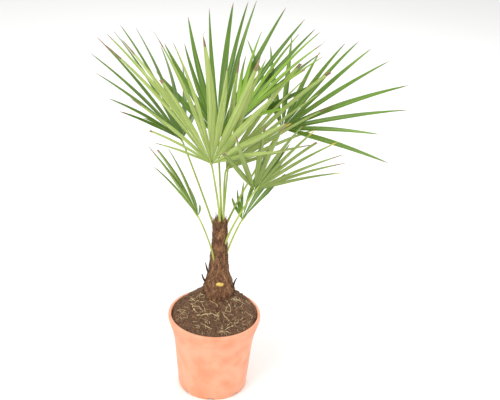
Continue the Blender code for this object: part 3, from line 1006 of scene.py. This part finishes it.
class Fan:
    """One frond: its stalk from the trunk to the blade, and a pleated blade of free segments."""

    ROWS = 22
    COLUMNS = (-1.0, -0.7, -0.38, -0.1, 0.1, 0.38, 0.7, 1.0)
    THICK = 0.00055
    BARE = 0.012
    EDGE_ROOM = 5.2
    WIDE_GAP = 16
    WIDE_ROOM = 6.5
    STALK_STEPS = 30

    def __init__(self, name: str, foot: tuple, start: tuple, aim: tuple, tone: Tone,
                 leaves: list[Leaf], rise: float = 0.3, fold: float = 0.62) -> None:
        """Keep the fan's place and work out the axes of its blade.

        Args:
            name: The name that the CAD nodes use.
            foot: Where the stalk leaves the trunk.
            start: Where the blade starts.
            aim: Degrees round from +X, degrees above level, and the blade's turn.
            tone: Its finishes.
            leaves: Its segments.
            rise: How far the stalk first runs up, as a share of its length.
            fold: How deep each segment's fold is, as a share of its half width.
        """
        self.name = name
        self.foot = Vector(foot)
        self.start = Vector(start)
        self.tone = tone
        self.leaves = sorted(leaves, key=lambda leaf: leaf.bearing)
        self.rise = rise
        self.fold = fold
        self.seeded = random.Random(name)
        round_z, above, turn = (angle * DEG for angle in aim)
        flat = spoke(round_z)
        self.ahead = flat * math.cos(above) + UP * math.sin(above)
        face = UP * math.cos(above) - flat * math.sin(above)
        self.face = Quaternion(self.ahead, -turn) @ face
        self.side = self.face.cross(self.ahead)

    def tilts(self, node: bpy.types.Object) -> list[float]:
        """Read from the CAD blade how far each segment is tipped out of the blade's plane.

        Args:
            node: The CAD node of this blade.

        Returns:
            One angle in radians for each segment.
        """
        ends = []
        for vertex in node.data.vertices:
            out = vertex.co - self.start
            ends.append((math.atan2(out.dot(self.side), out.dot(self.ahead)), out.length, out))
        tilts = []
        for leaf in self.leaves:
            near = [end for end in ends if abs(end[0] - leaf.bearing * DEG) < 2.2 * DEG]
            near = sorted(near, key=lambda end: abs(end[1] - leaf.reach * MM))[:4]
            if not near or abs(near[0][1] - leaf.reach * MM) > 0.02:
                tilts.append(0.0)
                continue
            rise = sum(end[2].dot(self.face) for end in near) / len(near)
            tilts.append(math.asin(clamp(rise / near[0][1], -1.0, 1.0)))
        return tilts

    def half_angle(self, index: int, step: int) -> float:
        """Give half the angle to the next segment on one side, no wider than a pleat can be."""
        other = index + step
        if not 0 <= other < len(self.leaves):
            return self.EDGE_ROOM * DEG
        gap = abs(self.leaves[other].bearing - self.leaves[index].bearing) * DEG
        return gap / 2 if gap <= self.WIDE_GAP * DEG else self.WIDE_ROOM * DEG

    def leaf(self, draft: Draft, index: int, tilt: float) -> None:
        """Add one segment: a closed, folded and tapering strip with its rib.

        Args:
            draft: The mesh of the blade.
            index: The segment's number.
            tilt: How far it is tipped out of the blade's plane.
        """
        leaf = self.leaves[index]
        bearing = leaf.bearing * DEG
        reach = leaf.reach * MM
        flat = self.ahead * math.cos(bearing) + self.side * math.sin(bearing)
        way = flat * math.cos(tilt) + self.face * math.sin(tilt)
        over = self.side * math.cos(bearing) - self.ahead * math.sin(bearing)
        dry, end = leaf.tip.value
        upper, lower = self.tone.value
        sway = leaf.sway + self.seeded.uniform(-0.010, 0.010)
        roll = leaf.roll + self.seeded.uniform(-0.35, 0.35)
        droop = leaf.droop + self.seeded.uniform(-0.008, 0.008)
        halves = [math.tan(self.half_angle(index, step)) for step in (-1, 1)]
        full = leaf.wide * MM / 2
        sheets: list[list[list[int]]] = [[], []]
        for row in range(self.ROWS + 1):
            share = self.BARE + (1 - self.BARE) * (row / self.ROWS) ** 0.9
            away = share * reach
            taper = clamp((1 - share) / 0.52) ** 0.75
            half_full = full * (end + (1 - end) * taper)
            if share > 0.985 and leaf.tip is not Tip.CUT:
                half_full *= 0.45
            arch = 4 * share * (1 - share) * ARCH_SHARE * reach
            late = clamp((share - 0.45) / 0.55) ** 2
            bulge = math.sin(math.pi * share)
            middle = self.start + way * away + self.face * (arch - droop * reach * late)
            middle += over * (sway * reach * bulge)
            angle = roll * late
            across = over * math.cos(angle) + self.face * math.sin(angle)
            normal = self.face * math.cos(angle) - over * math.sin(angle)
            lines: list[list[int]] = [[], []]
            for column in self.COLUMNS:
                room = away * halves[0 if column < 0 else 1]
                half = min(half_full, room)
                deep = self.fold * half * (1 - 0.25 * late)
                sink = -deep * (1 - abs(column) ** 1.15)
                rib = 0.00035 * math.exp(-((column / 0.16) ** 2)) * (1 - 0.6 * share)
                at = middle + across * (column * half) + normal * sink
                place = (column * half + index * 0.03, away)
                lines[0].append(draft.point(at + normal * self.THICK / 2, place))
                lines[1].append(draft.point(at - normal * (self.THICK / 2 + rib * 2), place))
            sheets[0].append(lines[0])
            sheets[1].append(lines[1])
        last = len(self.COLUMNS) - 1
        browned = Finishes.TIP_YELLOW if leaf.tip is Tip.YELLOW else Finishes.TIP_BROWN
        for row in range(self.ROWS):
            share = (row + 0.5) / self.ROWS
            dried = share > 1 - dry
            top = browned if dried else upper
            under = browned if dried else lower
            for column in range(last):
                first, second = sheets[0][row], sheets[0][row + 1]
                draft.face((first[column], first[column + 1], second[column + 1], second[column]), top)
                first, second = sheets[1][row], sheets[1][row + 1]
                draft.face((first[column], second[column], second[column + 1], first[column + 1]), under)
            for column, turn in ((0, 1), (last, -1)):
                corners = (sheets[0][row][column], sheets[0][row + 1][column],
                           sheets[1][row + 1][column], sheets[1][row][column])
                draft.face(corners[::turn], under)
        for row, turn in ((0, 1), (self.ROWS, -1)):
            for column in range(last):
                corners = (sheets[0][row][column], sheets[1][row][column],
                           sheets[1][row][column + 1], sheets[0][row][column + 1])
                draft.face(corners[::turn], browned if row else lower)
        if leaf.tip is Tip.WHISKER:
            tail = middle
            path = [tail + way * (0.004 * step) + over * (0.0006 * step * step * (1 if roll > 0 else -1))
                    for step in range(6)]
            draft.tube(path, [0.0005 * (1 - 0.15 * step) for step in range(6)], Finishes.TIP_BROWN, 3)

    def blade(self, store: Finishes, node: bpy.types.Object) -> None:
        """Make the whole blade and the small lobe where it meets the stalk."""
        draft = Draft("fan_" + self.name)
        for index, tilt in enumerate(self.tilts(node)):
            self.leaf(draft, index, tilt)
        self.lobe(draft)
        settle(draft.build(store, 60), "frond", "frond_" + self.name)

    def lobe(self, draft: Draft) -> None:
        """Add the small round lobe at the blade's foot, and the rib that runs on under it."""
        path = [self.start + self.ahead * (0.004 * step - 0.004) - self.face * (0.0012 + 0.0002 * step)
                for step in range(8)]
        radii = [0.0026, 0.0034, 0.0034, 0.0030, 0.0025, 0.0019, 0.0012, 0.0005]
        draft.tube(path, radii, Finishes.STALK, 10, self.side, 0.6)

    def stalk(self, store: Finishes) -> None:
        """Make the stalk: flattened, and thinner towards the blade."""
        end = self.start - self.ahead * 0.0003
        length = (end - self.foot).length
        ends = (
            self.foot,
            self.foot + UP.lerp((end - self.foot).normalized(), 0.5) * length * self.rise,
            end - self.ahead * length * 0.10,
            end,
        )
        path = [bezier(ends, step / self.STALK_STEPS) for step in range(self.STALK_STEPS + 1)]
        radii = [0.0034 - 0.0011 * (step / self.STALK_STEPS) ** 0.6 for step in range(self.STALK_STEPS + 1)]
        draft = Draft("stalk_" + self.name)
        draft.tube(path, radii, Finishes.STALK, 14, self.side, 0.75)
        settle(draft.build(store, 50), "petiole", "petiole_" + self.name)


P, B, Y, C, W = Tip.POINTED, Tip.BROWN, Tip.YELLOW, Tip.CUT, Tip.WHISKER


def leaves_of(*rows: tuple) -> list[Leaf]:
    """Turn rows of bearing, reach and the rest into segments."""
    return [Leaf(*row) for row in rows]


def fans() -> list[Fan]:
    """List the nine fans, from the front of the plant to its back."""
    return [
        Fan("front", (0.0045, 0.038, 0.4633), (-0.019, 0.000, 0.638), (-118, 70, 0), Tone.PALE, leaves_of(
            (-84, 165, 9, B), (-70, 175, 10, C), (-54, 250, 14, B), (-38, 377, 15, B), (-34, 396, 15, P),
            (-29, 372, 16, B), (-23, 250, 17, C), (-12, 365, 14, W), (-6, 350, 13, P), (7, 388, 24, W),
            (17, 330, 18, P), (27, 405, 20, B), (38, 330, 18, P), (50, 300, 17, P), (64, 235, 14, P))),
        Fan("front_right", (0.013, 0.044, 0.4633), (0.016, 0.020, 0.615), (-25, 68, 28), Tone.PALE, leaves_of(
            (-19, 348, 16, B), (-6, 330, 16, P), (10, 334, 18, C), (21, 300, 16, P), (31, 346, 18, C),
            (38, 300, 15, P), (44, 197, 15, Y), (53, 318, 15, B), (64, 280, 14, P), (75, 258, 13, B))),
        Fan("right", (0.020, 0.040, 0.395), (0.089, 0.000, 0.571), (-35, 62, 30), Tone.OLIVE, leaves_of(
            (-50, 190, 12, C), (-38, 250, 13, B), (-20, 240, 14, B), (-8, 235, 14, B), (4, 232, 13, P),
            (14, 228, 12, Y), (25, 200, 13, C), (36, 236, 13, Y), (50, 235, 12, B), (58, 236, 12, B),
            (68, 230, 12, Y))),
        Fan("left", (-0.008, 0.055, 0.425), (-0.099, 0.100, 0.654), (120, 33, -30), Tone.DEEP, leaves_of(
            (-43, 285, 15, P), (-28, 320, 15, P), (-15, 345, 15, P), (-2, 372, 15, P), (8, 365, 14, P),
            (15, 342, 14, P), (30, 330, 15, B), (45, 307, 15, P), (57, 278, 15, P), (69, 230, 14, P),
            (77, 204, 13, B), (84, 160, 12, P)), rise=0.12),
        Fan("left_low", (-0.006, 0.036, 0.345), (-0.048, -0.020, 0.505), (150, 50, -30), Tone.OLIVE,
            leaves_of(
            (-77, 87, 10, C), (-53, 114, 10, B), (-39, 209, 13, P), (-31, 216, 13, P), (0, 190, 24, C),
            (15, 190, 24, B), (22, 220, 18, B), (39, 201, 12, P))),
        Fan("right_low", (0.022, 0.048, 0.350), (0.061, 0.030, 0.475), (35, 50, 0), Tone.OLIVE, leaves_of(
            (-12, 160, 20, P), (-2, 210, 20, P), (8, 230, 18, B), (18, 220, 14, P), (43, 110, 10, P),
            (56, 99, 10, P), (70, 84, 9, C))),
        Fan("back", (0.0065, 0.062, 0.4633), (-0.007, 0.110, 0.661), (80, 52, 20), Tone.DEEP, leaves_of(
            (-60, 300, 16, P), (-48, 330, 16, P), (-38, 359, 16, P), (-31, 363, 16, P), (-21, 368, 17, P),
            (-7, 369, 15, P), (-3, 367, 15, P), (4, 367, 20, P), (15, 365, 14, P), (25, 365, 17, P),
            (31, 300, 14, P), (40, 340, 16, P), (52, 310, 16, P))),
        Fan("inner", (0.0125, 0.054, 0.4633), (0.040, 0.045, 0.732), (28, 42, 10), Tone.BRIGHT, leaves_of(
            (-59, 184, 15, P), (-37, 232, 16, C), (-20, 260, 15, P), (-8, 276, 17, W), (5, 300, 16, P),
            (20, 290, 15, P), (36, 270, 15, P), (52, 240, 14, P))),
        Fan("right_back", (0.020, 0.056, 0.440), (0.150, 0.130, 0.685), (35, 30, -12), Tone.MID, leaves_of(
            (-72, 300, 15, P), (-56, 250, 14, P), (-41, 318, 15, P), (-26, 333, 18, P), (-10, 328, 15, P),
            (2, 327, 15, P), (10, 329, 14, P), (16, 312, 14, P), (26, 265, 13, P), (44, 319, 14, P),
            (55, 300, 14, P), (65, 354, 13, P)), rise=0.15),
    ]


def stubs() -> list[Stub]:
    """List the stubs of old stalks on the trunk."""
    dry, cut = Finishes.STUB_DRY, Finishes.STUB_CUT
    return [
        Stub("front", (Vector((0.011, 0.032, 0.280)), Vector((0.011, 0.020, 0.285)),
                       Vector((0.011, 0.014, 0.290)), Vector((0.011, 0.010, 0.295))),
             (0.0105, 0.0090), 0.45, Finishes.STUB_CUT, cut),
        Stub("right", (Vector((0.030, 0.050, 0.254)), Vector((0.050, 0.050, 0.252)),
                       Vector((0.042, 0.050, 0.276)), Vector((0.054, 0.050, 0.292))),
             (0.0042, 0.0014), 0.75, dry, dry),
        Stub("left_upper", (Vector((-0.010, 0.046, 0.300)), Vector((-0.024, 0.044, 0.304)),
                            Vector((-0.026, 0.043, 0.325)), Vector((-0.029, 0.043, 0.338))),
             (0.0045, 0.0012), 0.75, dry, dry),
        Stub("left_lower", (Vector((-0.015, 0.040, 0.278)), Vector((-0.030, 0.038, 0.280)),
                            Vector((-0.034, 0.036, 0.295)), Vector((-0.037, 0.036, 0.307))),
             (0.0050, 0.0016), 0.75, dry, dry),
    ]


def corners(bounds: tuple) -> list[list[float]]:
    """Turn a box's two corners into plain lists of numbers."""
    return [[float(part) for part in corner] for corner in bounds]


def main() -> None:
    """Build the studio, the pot and the plant in order."""
    logging.basicConfig(level=logging.INFO, format="%(name)s: %(message)s")
    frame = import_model()
    Studio().build()
    store = Finishes()
    scatter = Scatter()
    Pot().build(store)
    RootBall().build(store, scatter)
    Trunk().build(store, scatter)
    for stub in stubs():
        stub.build(store)
    for fan in fans():
        fan.stalk(store)
        fan.blade(store, frame["nodes"]["frond_" + fan.name])


if __name__ == "__main__":
    main()
